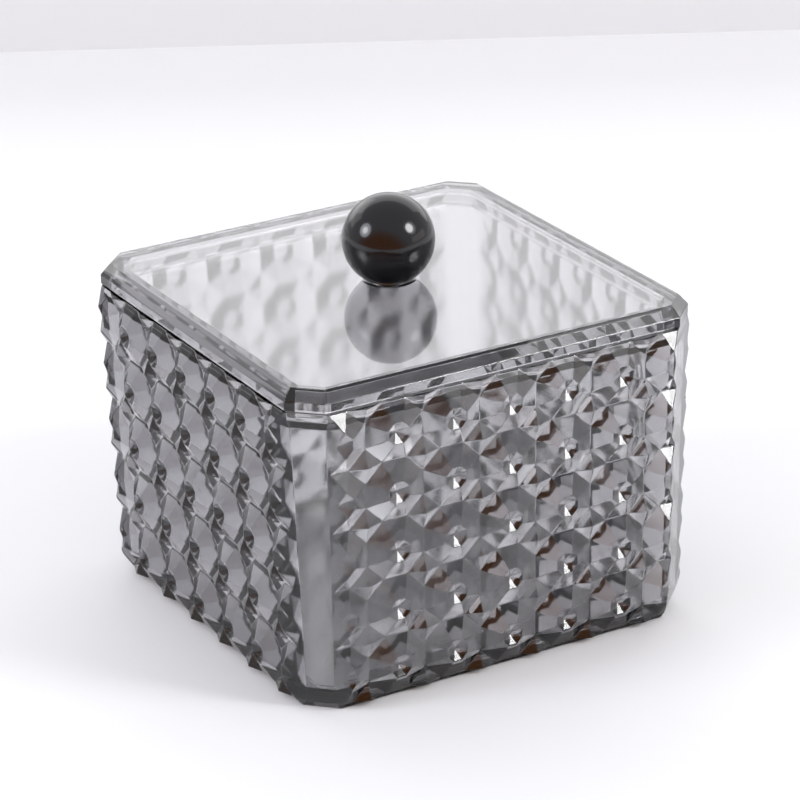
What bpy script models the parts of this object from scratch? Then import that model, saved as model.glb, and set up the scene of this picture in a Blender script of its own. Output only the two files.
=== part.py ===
"""Square storage box with a faceted relief, a lift-off lid and a ball knob.

The box stands on the origin. +Z is up and the four walls face the X and Y
axes. Every wall leans outward by the same draft, so the box opens upward.
"""
import math

import bmesh
import bpy
from mathutils import Vector

OBJECT_NAME = "faceted_cotton_box"
CUTTER_NAME = "faceted_cotton_box_cutters"

# Levels of the body, from the surface it stands on.
RIM_Z = 0.0700
FLOOR_TOP_Z = 0.0039
FOOT_RECESS_Z = 0.0009

# Half widths of the body at ground level. The 45 degree corner panels cut
# this much off each wall there.
DRAFT_SHARE = 0.03
VALLEY_BASE_HALF = 0.0481
CORNER_CUT = 0.00583
PLINTH_HALF = 0.0468
WALL = 0.0024
FOOT_RING_WIDTH = 0.0052

# The corner panels curl inward over their lowest part.
PANEL_CURL_Z = 0.0070
PANEL_CURL_RADIUS = 0.0130
PANEL_CURL_STEPS = 6

# Inner corners of the cavity's floor are eased by this much.
FLOOR_EASE = 0.0010

# Near the rim the wall thins over a sloping ledge, and the lid's lip hangs
# in front of the thin part.
LEDGE_DROP = 0.0041
LEDGE_RISE = 0.0019
RIM_WALL = 0.0014

# One relief cell: an octagon whose ring stands proud and whose centre is a
# pit. A small four-sided peak fills the space between four octagons.
CELL_WIDTH = 0.0139
CELL_HEIGHT = 0.01372
CELL_COLUMNS = 7
CELL_ROWS = 5
RING_HALF = 0.0027
RING_RISE = 0.00236
PIT_RISE = 0.00097
PEAK_RISE = 0.00150
CORNER_CUT_SHARE = 1.0 - math.sqrt(0.5)
RELIEF_ROOT = 0.0010

# The lid, closed. Its skirt is vertical, set back a little from the walls'
# lowest lines and a little proud of the corner panels. Its top edge is
# bevelled.
SEAT_GAP = 0.0003
LID_SETBACK = 0.0002
LID_CORNER_PROUD = 0.00025
LID_SKIRT = 0.00215
LID_BEVEL_RISE = 0.00245
LID_BEVEL_RUN = 0.00205
LID_PLATE = 0.0024
LIP_WALL = 0.0030
LIP_EASE = 0.0004

# The knob. The ball's foot is cut flat and stands on the collar.
BALL_RADIUS = 0.01038
BALL_FOOT_DROP = 0.00795
COLLAR_HEIGHT = 0.00075
COLLAR_RADIUS = 0.00535
SPIGOT_RADIUS = 0.0025
KNOB_GAP = 0.0003
BALL_STEPS = 24
TURN_STEPS = 48

# Cutters run past the faces they open by this much.
OVERRUN = 0.0100
SMOOTH_ANGLE = math.radians(30.0)
MERGE_LIMIT = 0.00001
OCTAGON_SIDES = 8

# Sizes that follow from the ones above. A reach is the distance from the
# box's axis to a 45 degree corner face.
PANEL_BASE_REACH = (2.0 * VALLEY_BASE_HALF - CORNER_CUT) / math.sqrt(2.0)
LID_HALF = VALLEY_BASE_HALF + DRAFT_SHARE * RIM_Z - LID_SETBACK
LID_REACH = PANEL_BASE_REACH + DRAFT_SHARE * RIM_Z + LID_CORNER_PROUD
LID_ARRIS_Z = RIM_Z + SEAT_GAP + LID_SKIRT
LID_TOP_Z = LID_ARRIS_Z + LID_BEVEL_RISE
PATTERN_LOW_Z = RIM_Z - CELL_ROWS * CELL_HEIGHT
PLATE_LOW_Z = LID_TOP_Z - LID_PLATE
LEDGE_LOW_Z = RIM_Z - LEDGE_DROP
LEDGE_TOP_Z = LEDGE_LOW_Z + LEDGE_RISE
LIP_LOW_Z = LEDGE_TOP_Z + SEAT_GAP
BALL_FOOT_Z = LID_TOP_Z + COLLAR_HEIGHT + 2.0 * KNOB_GAP
BALL_CENTRE_Z = BALL_FOOT_Z + BALL_FOOT_DROP
BORE_RADIUS = SPIGOT_RADIUS + KNOB_GAP


def valley_half(z):
    """Half width over the relief's lowest lines at a height."""
    return VALLEY_BASE_HALF + DRAFT_SHARE * z


def panel_reach(z):
    """Distance from the axis to a corner panel at a height."""
    return PANEL_BASE_REACH + DRAFT_SHARE * z


def start_scene():
    """Clears the scene and makes the two collections."""
    for found in list(bpy.data.objects):
        bpy.data.objects.remove(found)
    parts = bpy.data.collections.new(OBJECT_NAME)
    cutters = bpy.data.collections.new(CUTTER_NAME)
    bpy.context.scene.collection.children.link(parts)
    bpy.context.scene.collection.children.link(cutters)
    return parts, cutters


def make_material(name, colour, roughness, transmission):
    """A plain plastic with a colour in linear values."""
    material = bpy.data.materials.new(name)
    material.use_nodes = True
    shader = material.node_tree.nodes["Principled BSDF"]
    shader.inputs["Base Color"].default_value = (*colour, 1.0)
    shader.inputs["Roughness"].default_value = roughness
    shader.inputs["Metallic"].default_value = 0.0
    shader.inputs["Transmission Weight"].default_value = transmission
    material.diffuse_color = (*colour, 1.0)
    return material


def add_object(name, bm, collection, material=None):
    """Turns a finished bmesh into a named object."""
    bmesh.ops.recalc_face_normals(bm, faces=bm.faces)
    mesh = bpy.data.meshes.new(name)
    bm.to_mesh(mesh)
    bm.free()
    made = bpy.data.objects.new(name, mesh)
    collection.objects.link(made)
    if material:
        mesh.materials.append(material)
    return made


def hide_cutter(cutter):
    """A cutter is not a part, so it is drawn as wire and never rendered."""
    cutter.hide_render = True
    cutter.display_type = 'WIRE'


def octagon_points(half, reach, z):
    """Corners of a square of one half width with its corners cut off."""
    near = reach * math.sqrt(2.0) - half
    plan = (
        (half, -near), (half, near), (near, half), (-near, half),
        (-half, near), (-half, -near), (-near, -half), (near, -half),
    )
    return [Vector((x, y, z)) for x, y in plan]


def octagon_stack(name, sections, collection, material=None):
    """A closed prism through sections of (z, half width, panel reach)."""
    bm = bmesh.new()
    made = bmesh.ops.create_circle(
        bm, cap_ends=True, segments=OCTAGON_SIDES, radius=LID_HALF)
    ring = sorted(made["verts"], key=lambda v: math.atan2(v.co.y, v.co.x))
    start = sorted(
        octagon_points(sections[0][1], sections[0][2], sections[0][0]),
        key=lambda p: math.atan2(p.y, p.x))
    for vert, point in zip(ring, start):
        vert.co = point
    bm.faces.ensure_lookup_table()
    bottom = bm.faces[0]
    face = bottom
    for z, half, reach in sections[1:]:
        grown = bmesh.ops.extrude_face_region(bm, geom=[face])["geom"]
        if face is not bottom:
            bmesh.ops.delete(bm, geom=[face], context='FACES_ONLY')
        face = [item for item in grown if isinstance(item, bmesh.types.BMFace)][0]
        ring = sorted(face.verts, key=lambda v: math.atan2(v.co.y, v.co.x))
        goal = sorted(
            octagon_points(half, reach, z),
            key=lambda p: math.atan2(p.y, p.x))
        for vert, point in zip(ring, goal):
            vert.co = point
    return add_object(name, bm, collection, material)


def relief_slab(name, collection):
    """One wall's relief as a closed slab, facing -Y.

    A grid's corners are cut off, which leaves octagons with small squares
    between them. Each octagon gets a proud ring and a pit, each square a
    peak. The sheet is then trimmed to whole rows and given a back.
    """
    bm = bmesh.new()
    columns = CELL_COLUMNS + 2
    rows = CELL_ROWS + 2
    bmesh.ops.create_grid(
        bm, x_segments=columns, y_segments=rows, size=CELL_WIDTH / 2.0)
    for vert in bm.verts:
        vert.co.x *= columns
        vert.co.y *= rows
    bmesh.ops.bevel(
        bm, geom=bm.verts[:], offset=CELL_WIDTH * CORNER_CUT_SHARE,
        offset_type='OFFSET', segments=1, profile=0.5, affect='VERTICES')
    octagons = [f for f in bm.faces if len(f.verts) == OCTAGON_SIDES]
    squares = [f for f in bm.faces if len(f.verts) == 4]

    peaks = bmesh.ops.poke(bm, faces=squares)["verts"]
    for vert in peaks:
        vert.co.z = PEAK_RISE
    bmesh.ops.inset_individual(
        bm, faces=octagons, thickness=CELL_WIDTH / 2.0 - RING_HALF)
    for face in octagons:
        for vert in face.verts:
            vert.co.z = RING_RISE
    pits = bmesh.ops.poke(bm, faces=octagons)["verts"]
    for vert in pits:
        vert.co.z = PIT_RISE

    # Whole rows only: the peaks on the first and last line are cut in half.
    trim = CELL_WIDTH * CELL_ROWS / 2.0
    for side in (1.0, -1.0):
        bmesh.ops.bisect_plane(
            bm, geom=bm.verts[:] + bm.edges[:] + bm.faces[:],
            dist=MERGE_LIMIT, plane_co=(0.0, side * trim, 0.0),
            plane_no=(0.0, side, 0.0), clear_outer=True)
    reach = CELL_WIDTH * CELL_COLUMNS / 2.0
    for side in (1.0, -1.0):
        bmesh.ops.bisect_plane(
            bm, geom=bm.verts[:] + bm.edges[:] + bm.faces[:],
            dist=MERGE_LIMIT, plane_co=(side * reach, 0.0, 0.0),
            plane_no=(side, 0.0, 0.0), clear_outer=True)

    # The back lies inside the wall, so slab and wall join into one body.
    border = [edge for edge in bm.edges if edge.is_boundary]
    grown = bmesh.ops.extrude_edge_only(bm, edges=border)["geom"]
    for item in grown:
        if isinstance(item, bmesh.types.BMVert):
            item.co.z = -RELIEF_ROOT
    back = [edge for edge in bm.edges if edge.is_boundary]
    bmesh.ops.contextual_create(bm, geom=back)

    # From the flat sheet to the leaning wall.
    for vert in bm.verts:
        z = PATTERN_LOW_Z + (vert.co.y + trim) * CELL_HEIGHT / CELL_WIDTH
        if abs(z - RIM_Z) < MERGE_LIMIT:
            z = RIM_Z
        vert.co = Vector((vert.co.x, -valley_half(z) - vert.co.z, z))
    return add_object(name, bm, collection)


def corner_cutter(name, collection):
    """A block that leaves one corner panel, with the curl at its foot."""
    curl_reach = panel_reach(PANEL_CURL_Z)
    outline = [Vector((panel_reach(RIM_Z + OVERRUN), RIM_Z + OVERRUN, 0.0))]
    sweep = math.asin(PANEL_CURL_Z / PANEL_CURL_RADIUS)
    for step in range(PANEL_CURL_STEPS + 1):
        turn = sweep * step / PANEL_CURL_STEPS
        inset = PANEL_CURL_RADIUS * (1.0 - math.cos(turn))
        drop = PANEL_CURL_RADIUS * math.sin(turn)
        outline.append(
            Vector((curl_reach - inset, PANEL_CURL_Z - drop, 0.0)))
    foot = outline[-1]
    outline.append(Vector((foot.x, -OVERRUN, 0.0)))
    outline.append(Vector((curl_reach + 2.0 * OVERRUN, -OVERRUN, 0.0)))
    outline.append(
        Vector((curl_reach + 2.0 * OVERRUN, RIM_Z + OVERRUN, 0.0)))

    curve = bpy.data.curves.new(name, 'CURVE')
    curve.dimensions = '2D'
    curve.fill_mode = 'BOTH'
    curve.extrude = LID_HALF / 2.0
    spline = curve.splines.new('POLY')
    spline.points.add(len(outline) - 1)
    for point, place in zip(spline.points, outline):
        point.co = (place.x, place.y, place.z, 1.0)
    spline.use_cyclic_u = True
    drawn = bpy.data.objects.new(name + "_outline", curve)
    collection.objects.link(drawn)
    bpy.context.view_layer.update()
    mesh = bpy.data.meshes.new_from_object(drawn)
    bpy.data.objects.remove(drawn)
    bm = bmesh.new()
    bm.from_mesh(mesh)
    bmesh.ops.remove_doubles(bm, verts=bm.verts, dist=MERGE_LIMIT)
    return add_object(name, bm, collection)


def turned(name, profile, collection, material, ring=False):
    """A turned solid from a profile of (radius, z), top to bottom.

    A ring's profile closes on itself. A solid's starts and ends on the axis.
    """
    mesh = bpy.data.meshes.new(name)
    points = [(radius, 0.0, z) for radius, z in profile]
    lines = [(index, index + 1) for index in range(len(points) - 1)]
    if ring:
        lines.append((len(points) - 1, 0))
    mesh.from_pydata(points, lines, [])
    made = bpy.data.objects.new(name, mesh)
    collection.objects.link(made)
    mesh.materials.append(material)
    screw = made.modifiers.new("turn", 'SCREW')
    screw.axis = 'Z'
    screw.angle = 2.0 * math.pi
    screw.steps = TURN_STEPS
    screw.render_steps = TURN_STEPS
    screw.use_merge_vertices = True
    screw.merge_threshold = MERGE_LIMIT
    bpy.context.view_layer.update()
    graph = bpy.context.evaluated_depsgraph_get()
    solid = bpy.data.meshes.new_from_object(made.evaluated_get(graph))
    made.modifiers.remove(screw)
    made.data = solid
    solid.name = name
    solid.shade_smooth()
    solid.set_sharp_from_angle(angle=SMOOTH_ANGLE)
    return made


def cut(target, operation, operand):
    """Adds a Boolean against a collection of solids."""
    step = target.modifiers.new(operation.lower(), 'BOOLEAN')
    step.operation = operation
    step.solver = 'EXACT'
    step.operand_type = 'COLLECTION'
    step.collection = operand
    return step


def sub_collection(name, parent):
    """A named group of cutters for one Boolean."""
    made = bpy.data.collections.new(name)
    parent.children.link(made)
    return made


def make_body(parts, cutters, material):
    """The body: plinth and walls, relief slabs, corner panels, cavity."""
    rough_reach = PANEL_BASE_REACH + WALL
    body = octagon_stack("box_body", (
        (0.0, PLINTH_HALF, rough_reach),
        (PATTERN_LOW_Z, PLINTH_HALF + DRAFT_SHARE * PATTERN_LOW_Z, rough_reach),
        (PATTERN_LOW_Z, valley_half(PATTERN_LOW_Z), rough_reach),
        (RIM_Z, valley_half(RIM_Z), rough_reach + DRAFT_SHARE * RIM_Z),
    ), parts, material)

    relief = sub_collection("relief_slabs", cutters)
    hollows = sub_collection("body_hollows", cutters)
    for index in range(4):
        slab = relief_slab("relief_slab_%d" % index, relief)
        slab.rotation_euler.z = math.radians(90.0) * index
        hide_cutter(slab)
        corner = corner_cutter("corner_cutter_%d" % index, hollows)
        corner.rotation_euler = (
            math.radians(90.0), 0.0, math.radians(45.0 + 90.0 * index))
        hide_cutter(corner)

    inner_floor = FLOOR_TOP_Z + FLOOR_EASE
    over = RIM_Z + OVERRUN
    cavity = octagon_stack("cavity_cutter", (
        (FLOOR_TOP_Z, valley_half(FLOOR_TOP_Z) - WALL - FLOOR_EASE,
         panel_reach(FLOOR_TOP_Z) - WALL - FLOOR_EASE),
        (inner_floor, valley_half(inner_floor) - WALL,
         panel_reach(inner_floor) - WALL),
        (LEDGE_LOW_Z, valley_half(LEDGE_LOW_Z) - WALL,
         panel_reach(LEDGE_LOW_Z) - WALL),
        (LEDGE_TOP_Z, valley_half(LEDGE_TOP_Z) - RIM_WALL,
         panel_reach(LEDGE_TOP_Z) - RIM_WALL),
        (over, valley_half(over) - RIM_WALL, panel_reach(over) - RIM_WALL),
    ), hollows)
    hide_cutter(cavity)
    foot_half = PLINTH_HALF - FOOT_RING_WIDTH
    foot_reach = PANEL_BASE_REACH - WALL - FOOT_RING_WIDTH
    recess = octagon_stack("foot_recess_cutter", (
        (-OVERRUN, foot_half, foot_reach),
        (FOOT_RECESS_Z, foot_half, foot_reach),
    ), hollows)
    hide_cutter(recess)
    cut(body, 'UNION', relief)
    cut(body, 'DIFFERENCE', hollows)
    return body


def make_lid(parts, cutters, material):
    """The lid: lip, skirt and bevelled plate, hollow below the plate."""
    skirt_low = RIM_Z + SEAT_GAP
    lip_half = valley_half(LIP_LOW_Z) - RIM_WALL - SEAT_GAP
    lip_reach = panel_reach(LIP_LOW_Z) - RIM_WALL - SEAT_GAP
    lip_ease_z = LIP_LOW_Z + LIP_EASE
    lid = octagon_stack("lid", (
        (LIP_LOW_Z, lip_half - LIP_EASE, lip_reach - LIP_EASE),
        (lip_ease_z, lip_half, lip_reach),
        (skirt_low, lip_half, lip_reach),
        (skirt_low, LID_HALF, LID_REACH),
        (LID_ARRIS_Z, LID_HALF, LID_REACH),
        (LID_TOP_Z, LID_HALF - LID_BEVEL_RUN, LID_REACH - LID_BEVEL_RUN),
    ), parts, material)

    hollows = sub_collection("lid_hollows", cutters)
    recess = octagon_stack("lid_recess_cutter", (
        (LIP_LOW_Z - OVERRUN, lip_half - LIP_WALL, lip_reach - LIP_WALL),
        (PLATE_LOW_Z, lip_half - LIP_WALL, lip_reach - LIP_WALL),
    ), hollows)
    hide_cutter(recess)
    bm = bmesh.new()
    bmesh.ops.create_cone(
        bm, cap_ends=True, segments=TURN_STEPS, radius1=BORE_RADIUS,
        radius2=BORE_RADIUS, depth=LID_PLATE + 2.0 * OVERRUN)
    hole = add_object("spigot_hole_cutter", bm, hollows)
    hole.location.z = LID_TOP_Z
    hide_cutter(hole)
    cut(lid, 'DIFFERENCE', hollows)
    return lid


def make_knob(parts, collar_material, ball_material):
    """The collar and the ball with its spigot, both turned."""
    seat_z = LID_TOP_Z + KNOB_GAP
    top_z = BALL_FOOT_Z - KNOB_GAP
    turned("knob_collar", (
        (BORE_RADIUS, top_z),
        (COLLAR_RADIUS, top_z),
        (COLLAR_RADIUS, seat_z),
        (BORE_RADIUS, seat_z),
    ), parts, collar_material, ring=True)

    low = math.acos(BALL_FOOT_DROP / BALL_RADIUS)
    profile = []
    for step in range(BALL_STEPS + 1):
        turn = (math.pi - low) * step / BALL_STEPS
        profile.append((
            BALL_RADIUS * math.sin(turn),
            BALL_CENTRE_Z + BALL_RADIUS * math.cos(turn)))
    profile.append((SPIGOT_RADIUS, BALL_FOOT_Z))
    profile.append((SPIGOT_RADIUS, PLATE_LOW_Z))
    profile.append((0.0, PLATE_LOW_Z))
    turned("knob_ball", profile, parts, ball_material)


def main():
    """Builds every part."""
    parts, cutters = start_scene()
    smoke = make_material(
        "smoke_polystyrene_body", (0.20, 0.20, 0.22), 0.05, 0.8)
    smoke_lid = make_material(
        "smoke_polystyrene_lid", (0.24, 0.24, 0.26), 0.05, 0.8)
    clear = make_material(
        "clear_polystyrene_collar", (0.45, 0.45, 0.47), 0.05, 0.8)
    black = make_material(
        "black_polystyrene_ball", (0.01, 0.01, 0.012), 0.08, 0.0)
    make_body(parts, cutters, smoke)
    make_lid(parts, cutters, smoke_lid)
    make_knob(parts, clear, black)


main()
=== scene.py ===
import math

import bmesh
import bpy
from mathutils import Matrix, Vector


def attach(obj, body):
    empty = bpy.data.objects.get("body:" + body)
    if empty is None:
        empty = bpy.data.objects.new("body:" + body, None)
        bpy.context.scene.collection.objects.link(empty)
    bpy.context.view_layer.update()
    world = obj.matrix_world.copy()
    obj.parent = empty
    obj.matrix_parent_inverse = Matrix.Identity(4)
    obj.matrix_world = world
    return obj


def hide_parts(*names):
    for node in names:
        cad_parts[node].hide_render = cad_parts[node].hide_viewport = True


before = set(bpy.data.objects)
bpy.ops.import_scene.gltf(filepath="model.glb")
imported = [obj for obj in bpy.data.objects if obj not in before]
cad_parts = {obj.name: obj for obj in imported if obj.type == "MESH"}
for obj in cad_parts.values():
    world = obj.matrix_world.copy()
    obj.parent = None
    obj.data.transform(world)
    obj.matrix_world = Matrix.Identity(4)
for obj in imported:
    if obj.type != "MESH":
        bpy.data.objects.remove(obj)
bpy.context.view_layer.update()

# Box body. One injection moulding of clear smoke-grey polystyrene, open at
# the top. Two slides in the mould give the faceted walls their draft and part
# along the smooth 45 degree corner panels.


def linear(code):
    """A colour written as sRGB hex, in the linear values that shaders take."""
    parts = [int(code[at:at + 2], 16) / 255.0 for at in (1, 3, 5)]
    straight = [
        part / 12.92 if part <= 0.04045 else ((part + 0.055) / 1.055) ** 2.4
        for part in parts]
    return (*straight, 1.0)


def node(owner, kind, settings=None, links=None):
    """Adds a node to a material or world, with its settings and links.

    Links give an input's name and the socket that feeds it.
    """
    tree = owner.node_tree
    made = tree.nodes.new(kind)
    for name, value in (settings or {}).items():
        if name in made.inputs:
            made.inputs[name].default_value = value
        else:
            setattr(made, name, value)
    for name, socket in (links or {}).items():
        tree.links.new(socket, made.inputs[name])
    return made


def new_material(name):
    """A material whose node tree is still empty."""
    material = bpy.data.materials.new(name)
    material.use_nodes = True
    material.node_tree.nodes.clear()
    return material


def new_object(name, bm, material):
    """An object in the scene with the bmesh's shape, which is used up."""
    mesh = bpy.data.meshes.new(name)
    bm.to_mesh(mesh)
    bm.free()
    mesh.materials.append(material)
    made = bpy.data.objects.new(name, mesh)
    bpy.context.scene.collection.objects.link(made)
    return made


# Clear smoke polystyrene, moulded. The tint takes about a quarter of the
# light over 2.4 mm of wall. The outer faces come from a polished mould and
# stay sharp to the eye. The core's faces are duller, so the far side looks
# soft through the near wall.
smoke = new_material("smoke_polystyrene_moulded")
core_side = node(smoke, "ShaderNodeAttribute", {"attribute_name": "core_side"})
polish = node(smoke, "ShaderNodeMapRange", {"To Min": 0.015, "To Max": 0.09}, {
    "Value": core_side.outputs["Fac"]})
smoke_shader = node(smoke, "ShaderNodeBsdfPrincipled", {
    "Base Color": linear("#ffffff"), "IOR": 1.59, "Transmission Weight": 1.0}, {
    "Roughness": polish.outputs["Result"]})
smoke_depth = node(smoke, "ShaderNodeVolumeAbsorption", {
    "Color": linear("#8a8890"), "Density": 145.0})
node(smoke, "ShaderNodeOutputMaterial", None, {
    "Surface": smoke_shader.outputs["BSDF"],
    "Volume": smoke_depth.outputs["Volume"]})

# The relief's cells: an octagonal pit in each, on a square lattice. The walls
# lean outward by the draft, from their half width at ground level.
CELL = 0.0139
CELL_HEIGHT = 0.01372
PATTERN_FOOT = 0.0014
WALL_HALF = 0.0481
WALL_DRAFT = 0.03

# Cells are whole as far as this column, counted from the middle one.
LAST_WHOLE_COLUMN = 2

# A pit's rim is drawn in to this share of its radius and its deepest point is
# sunk by this much, which gives the facets the photograph's slopes.
RIM_SHARE = 0.83
PIT_SINK = 0.00025

# How the rim's and the deepest point's vertices are told from the others: by
# their distance from the middle of the cell and by how proud they stand.
RIM_REACH_LEAST = 0.0029
RIM_REACH_MOST = 0.0036
RIM_PROUD_LEAST = 0.0020
PIT_REACH_MOST = 0.0002
PIT_PROUD_LEAST = 0.0008


def tighten_pits(bm):
    """Draws each whole pit's rim in and its floor down, for steeper facets."""
    for quarter in range(4):
        turn = Matrix.Rotation(math.radians(90.0) * quarter, 4, 'Z')
        back_turn = turn.inverted()
        for vert in bm.verts:
            local = turn @ vert.co
            proud = -local.y - WALL_HALF - WALL_DRAFT * local.z
            column = round(local.x / CELL)
            row = math.floor((local.z - PATTERN_FOOT) / CELL_HEIGHT)
            if proud < PIT_PROUD_LEAST or abs(column) > LAST_WHOLE_COLUMN:
                continue
            middle = Vector((
                column * CELL, 0.0, PATTERN_FOOT + (row + 0.5) * CELL_HEIGHT))
            reach = Vector((local.x - middle.x, 0.0, local.z - middle.z))
            on_rim = RIM_REACH_LEAST < reach.length < RIM_REACH_MOST
            if reach.length < PIT_REACH_MOST:
                local.y += PIT_SINK
                vert.co = back_turn @ local
            elif on_rim and proud > RIM_PROUD_LEAST:
                moved = local - reach * (1.0 - RIM_SHARE)
                moved.y -= WALL_DRAFT * (moved.z - local.z)
                vert.co = back_turn @ moved


# The CAD meshes are merged within this distance, and facets that meet flatter
# than this angle become one.
WELD = 0.00008
FLAT_ANGLE = math.radians(0.5)

# The moulded arrises are crisp but not sharp: 0.15 mm of rounding, which the
# eye reads as thin pale lines along every ridge.
ARRIS_EASE = 0.00015
ARRIS_STEPS = 2
ARRIS_ANGLE = math.radians(6.0)


def merged_copy(cad_node):
    """A bmesh of a CAD node's mesh, with its loose triangles merged."""
    bm = bmesh.new()
    bm.from_mesh(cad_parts[cad_node].data)
    bmesh.ops.remove_doubles(bm, verts=bm.verts, dist=WELD)
    return bm


def ease_arrises(bm):
    """Makes each facet one face and rounds every arris."""
    bmesh.ops.dissolve_limit(
        bm, angle_limit=FLAT_ANGLE, verts=bm.verts, edges=bm.edges)
    arrises = [
        edge for edge in bm.edges
        if edge.is_manifold and edge.calc_face_angle() > ARRIS_ANGLE]
    bmesh.ops.bevel(
        bm, geom=arrises, offset=ARRIS_EASE, offset_type='OFFSET',
        segments=ARRIS_STEPS, profile=0.5, affect='EDGES', material=-1)
    many_sided = [face for face in bm.faces if len(face.verts) > 4]
    bmesh.ops.triangulate(bm, faces=many_sided)


def mark_core_side(bm, is_core_side):
    """Marks the faces that the core forms, which the material makes duller."""
    core_mark = bm.faces.layers.float.new("core_side")
    for face in bm.faces:
        face[core_mark] = float(is_core_side(face.calc_center_median()))


# The cavity: its half width at ground level, its span across a cut corner,
# and its floor's level, each set a little outside the faces themselves.
CAVITY_HALF = 0.0469
CAVITY_SPAN = 0.0895
CAVITY_FLOOR = 0.0037


def in_cavity(centre):
    """True for a face of the cavity."""
    lean = WALL_DRAFT * centre.z
    wide = max(abs(centre.x), abs(centre.y)) < CAVITY_HALF + lean
    cut = abs(centre.x) + abs(centre.y) < CAVITY_SPAN + lean
    return wide and cut and centre.z > CAVITY_FLOOR


body_shape = merged_copy("box_body")
tighten_pits(body_shape)
ease_arrises(body_shape)
mark_core_side(body_shape, in_cavity)
body = new_object("moulded_body", body_shape, smoke)
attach(body, "box")
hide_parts("box_body")

# Lid. A second moulding in the same smoke plastic: a bevelled plate with a
# short skirt that sits flush on the walls and a lip that drops inside them.
# The core side of this moulding is the plate's underside, inside the lip.

# The lip's inner half width, and a level between the plate's two faces.
PLATE_INSIDE = 0.044
PLATE_MIDDLE = 0.0735


def under_plate(centre):
    """True for a face of the plate's underside."""
    inside = max(abs(centre.x), abs(centre.y)) < PLATE_INSIDE
    return inside and centre.z < PLATE_MIDDLE


lid_shape = merged_copy("lid")
ease_arrises(lid_shape)
mark_core_side(lid_shape, under_plate)
lid = new_object("moulded_lid", lid_shape, smoke)
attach(lid, "lid")
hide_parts("lid")

# Collar. The short clear neck under the ball, in the same smoke plastic, with
# a small fillet where it stands on the lid. The ball's spigot goes down
# through its bore.
LID_TOP = 0.0749
BALL_FOOT = 0.07625
NECK_RADIUS = 0.00535
NECK_FILLET = 0.00070
FILLET_STEPS = 6
BORE = 0.00255

# The collar reaches this far into the lid and the ball, so no gap shows.
SINK = 0.00002

# Turned pieces have this many faces round them. Points on the axis are merged
# within this distance, and edges sharper than this angle stay sharp.
TURN_STEPS = 96
AXIS_WELD = 0.000002
SHARP_ANGLE = math.radians(35.0)


def turned(name, profile, material):
    """A turned piece from a closed profile of (radius, height)."""
    bm = bmesh.new()
    points = [bm.verts.new((radius, 0.0, height)) for radius, height in profile]
    edges = [bm.edges.new(pair) for pair in zip(points, points[1:] + points[:1])]
    bmesh.ops.spin(
        bm, geom=points + edges, cent=(0.0, 0.0, 0.0), axis=(0.0, 0.0, 1.0),
        angle=2.0 * math.pi, steps=TURN_STEPS, use_merge=True)
    bmesh.ops.remove_doubles(bm, verts=bm.verts, dist=AXIS_WELD)
    bmesh.ops.recalc_face_normals(bm, faces=bm.faces)
    made = new_object(name, bm, material)
    made.data.shade_smooth()
    made.data.set_sharp_from_angle(angle=SHARP_ANGLE)
    return made


fillet_turns = [
    math.radians(90.0) * step / FILLET_STEPS for step in range(FILLET_STEPS + 1)]
fillet = [
    (NECK_RADIUS + NECK_FILLET * (1.0 - math.sin(turn)),
     LID_TOP + NECK_FILLET * (1.0 - math.cos(turn)))
    for turn in fillet_turns]
collar = turned("turned_collar", [
    (BORE, LID_TOP - SINK), (NECK_RADIUS + NECK_FILLET, LID_TOP - SINK), *fillet,
    (NECK_RADIUS, BALL_FOOT + SINK), (BORE, BALL_FOOT + SINK)], smoke)
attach(collar, "lid")
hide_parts("knob_collar")

# Ball. Solid black plastic, moulded and polished, with its foot cut flat and
# a spigot that holds it in the lid.
BALL_RADIUS = 0.01037
BALL_CENTRE = 0.0842
BALL_ARCS = 48
SPIGOT_RADIUS = 0.0025
SPIGOT_END = 0.0725

# Black polystyrene, polished. To the eye it is near black, with soft round
# highlights and a faint mirror of the table. Its IOR is a little under the
# plastic's own, to match how dark that mirror is in the photograph.
ball_black = new_material("black_polystyrene_polished")
ball_shader = node(ball_black, "ShaderNodeBsdfPrincipled", {
    "Base Color": linear("#0a0a0e"), "Roughness": 0.12, "IOR": 1.50})
node(ball_black, "ShaderNodeOutputMaterial", None, {
    "Surface": ball_shader.outputs["BSDF"]})

ball_sweep = math.pi - math.acos((BALL_CENTRE - BALL_FOOT) / BALL_RADIUS)
ball_turns = [ball_sweep * step / BALL_ARCS for step in range(BALL_ARCS + 1)]
ball_arc = [
    (BALL_RADIUS * math.sin(turn), BALL_CENTRE + BALL_RADIUS * math.cos(turn))
    for turn in ball_turns]
ball = turned("turned_ball", [
    (0.0, SPIGOT_END), *ball_arc, (SPIGOT_RADIUS, BALL_FOOT),
    (SPIGOT_RADIUS, SPIGOT_END)], ball_black)
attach(ball, "lid")
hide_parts("knob_ball")

# Stage. A white paper table that ends at a low wall of pale grey card behind
# the box. Both are flat sheets, square to the view's azimuth.
AZIMUTH = math.radians(-29.12734)
TABLE_FRONT = -0.70
TABLE_BACK = 0.41
TABLE_SIDE = 1.50
WALL_TOP = 0.11

# Matt white paper. It gives the eye an even, nearly white ground that still
# shows the box's shadow.
paper_white = new_material("stage_paper_white")
paper_shader = node(paper_white, "ShaderNodeBsdfPrincipled", {
    "Base Color": linear("#ebedef"), "Roughness": 0.7})
node(paper_white, "ShaderNodeOutputMaterial", None, {
    "Surface": paper_shader.outputs["BSDF"]})

# Matt grey card. It gives the eye the thin grey band above the table.
card_grey = new_material("stage_wall_grey")
card_shader = node(card_grey, "ShaderNodeBsdfPrincipled", {
    "Base Color": linear("#dadfe3"), "Roughness": 0.8})
node(card_grey, "ShaderNodeOutputMaterial", None, {
    "Surface": card_shader.outputs["BSDF"]})


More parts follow.
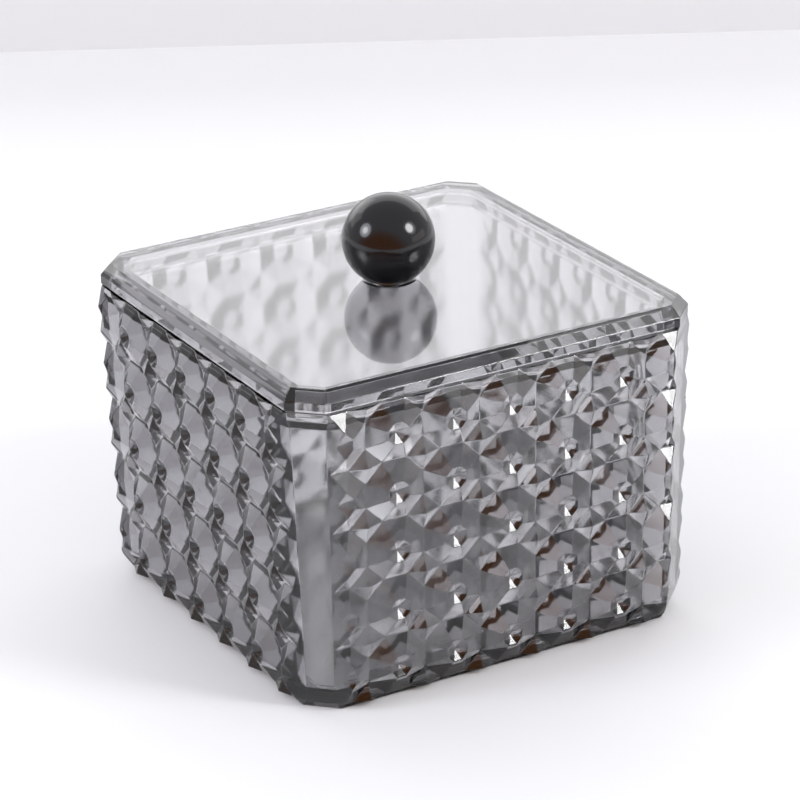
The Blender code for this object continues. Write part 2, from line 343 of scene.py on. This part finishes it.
def along_view(side, away, height=0.0):
    """A point given to the right of the box, away from the camera, and up."""
    return Vector((
        math.cos(AZIMUTH) * side - math.sin(AZIMUTH) * away,
        math.sin(AZIMUTH) * side + math.cos(AZIMUTH) * away, height))


def stage_sheet(name, corners, material):
    """A flat sheet of the stage through its corners."""
    bm = bmesh.new()
    bmesh.ops.contextual_create(
        bm, geom=[bm.verts.new(corner) for corner in corners])
    new_object(name, bm, material)


stage_sheet("stage_table", (
    along_view(-TABLE_SIDE, TABLE_FRONT), along_view(TABLE_SIDE, TABLE_FRONT),
    along_view(TABLE_SIDE, TABLE_BACK), along_view(-TABLE_SIDE, TABLE_BACK)),
    paper_white)
stage_sheet("stage_wall", (
    along_view(-TABLE_SIDE, TABLE_BACK), along_view(TABLE_SIDE, TABLE_BACK),
    along_view(TABLE_SIDE, TABLE_BACK, WALL_TOP),
    along_view(-TABLE_SIDE, TABLE_BACK, WALL_TOP)), card_grey)

# Room. It is pale all round but for a wide brown part in front, whose middle
# lies to the left of the camera and below the table's level. The smoke
# plastic's facets pick up that brown.

# The middle of the brown part: its turn to the left from the camera's own
# direction, and its slope below the table's level.
FRONT_TURN = math.radians(18.0)
FRONT_DROP = 0.45
world = bpy.data.worlds.new("room")
bpy.context.scene.world = world
world.use_nodes = True
world.node_tree.nodes.clear()
from_front = along_view(
    math.sin(FRONT_TURN), math.cos(FRONT_TURN), FRONT_DROP).normalized()
look = node(world, "ShaderNodeTexCoord")
facing = node(world, "ShaderNodeVectorMath", {"operation": 'DOT_PRODUCT'}, {
    0: look.outputs["Generated"]})
facing.inputs[1].default_value = from_front

# Minus the cosine of the angle from that middle, where the brown starts to
# give way and where it ends.
past_front = node(world, "ShaderNodeMapRange", {
    "From Min": -0.72, "From Max": -0.30, "interpolation_type": 'SMOOTHSTEP'}, {
    "Value": facing.outputs["Value"]})
room_tone = node(world, "ShaderNodeMix", {"data_type": 'RGBA'}, {
    "Factor": past_front.outputs["Result"]})
room_tone.inputs["A"].default_value = linear("#d69668")
room_tone.inputs["B"].default_value = linear("#dddce0")
room_light = node(world, "ShaderNodeBackground", {"Strength": 1.0}, {
    "Color": room_tone.outputs["Result"]})
node(world, "ShaderNodeOutputWorld", None, {
    "Surface": room_light.outputs["Background"]})

# Lamps. A round soft box with a hot centre stands at each side, a low glow
# warms the table on the right, and wide pale panels stand behind. Each faces
# the middle of the box.
AIM = Vector((0.0, 0.0, 0.045))


def lamp(name, shape, bearing, height, distance, size, level, colour="#ffffff"):
    """An area lamp that faces the box.

    The bearing is in degrees from straight behind the box, clockwise as seen
    from above, and the height in degrees above the table. The level is the
    lamp's brightness, where 1 is a sheet as bright as white in the picture.
    """
    turn = math.radians(bearing)
    rise = math.radians(height)
    offset = along_view(
        distance * math.sin(turn) * math.cos(rise),
        distance * math.cos(turn) * math.cos(rise), distance * math.sin(rise))
    area = size[0] * size[1]
    if shape == 'ELLIPSE':
        area *= math.pi / 4.0
    light = bpy.data.lights.new(name, 'AREA')
    light.shape = shape
    light.size, light.size_y = size
    light.energy = level * math.pi * area
    light.color = linear(colour)[:3]
    made = bpy.data.objects.new(name, light)
    made.location = AIM + offset
    made.rotation_mode = 'QUATERNION'
    made.rotation_quaternion = offset.to_track_quat('Z', 'Y')
    made.visible_camera = False
    bpy.context.scene.collection.objects.link(made)


lamp("left_soft_box", 'ELLIPSE', 249.0, 30.0, 1.2, (0.62, 0.62), 5.0, "#f0f5ff")
lamp("left_hot_centre", 'ELLIPSE', 249.0, 30.0, 1.19, (0.30, 0.30), 8.0)
lamp("right_soft_box", 'ELLIPSE', 110.0, 32.0, 1.2, (0.56, 0.56), 1.8)
lamp("right_hot_centre", 'ELLIPSE', 114.0, 33.5, 1.19, (0.40, 0.40), 13.0)
lamp("right_table_glow", 'RECTANGLE', 98.0, 8.0, 1.3, (1.0, 0.30), 0.7, "#fff2ea")
lamp("left_back_panel", 'RECTANGLE', 315.0, 26.0, 1.4, (1.2, 0.7), 0.8)
lamp("back_panel_low", 'RECTANGLE', 0.0, 17.0, 1.3, (2.8, 0.50), 1.2)
lamp("back_panel_high", 'RECTANGLE', 0.0, 41.0, 1.4, (2.6, 0.64), 0.9)

# Camera. It stands at the photograph's angle and distance, with the lens that
# the photograph's perspective gives. Its azimuth is the stage's.
ELEVATION = math.radians(22.95323)
ROLL = math.radians(-1.62192)

# The camera's place from the origin, in relief cells, along its own axes.
CELLS_BACK = 62.42075
CELLS_RIGHT = 0.026843
CELLS_UP = 3.023268

# The lens's focal length and the picture's width, in pixels.
FOCAL_PIXELS = 3791.978
PICTURE_PIXELS = 800.0
SENSOR_WIDTH = 36.0

back = along_view(0.0, -math.cos(ELEVATION), math.sin(ELEVATION))
flat_right = (-back).cross(Vector((0.0, 0.0, 1.0))).normalized()
flat_up = flat_right.cross(-back)
right = flat_right * math.cos(ROLL) + flat_up * math.sin(ROLL)
up = flat_up * math.cos(ROLL) - flat_right * math.sin(ROLL)
place = (back * CELLS_BACK + right * CELLS_RIGHT + up * CELLS_UP) * CELL
camera_data = bpy.data.cameras.new("camera")
camera_data.sensor_width = SENSOR_WIDTH
camera_data.lens = FOCAL_PIXELS / PICTURE_PIXELS * SENSOR_WIDTH
camera_data.clip_start = 0.05
camera_data.clip_end = 20.0
camera = bpy.data.objects.new("camera", camera_data)
camera.matrix_world = Matrix((
    (right.x, up.x, back.x, place.x),
    (right.y, up.y, back.y, place.y),
    (right.z, up.z, back.z, place.z),
    (0.0, 0.0, 0.0, 1.0)))
bpy.context.scene.collection.objects.link(camera)
bpy.context.scene.camera = camera
bpy.context.scene.view_settings.view_transform = 'Standard'
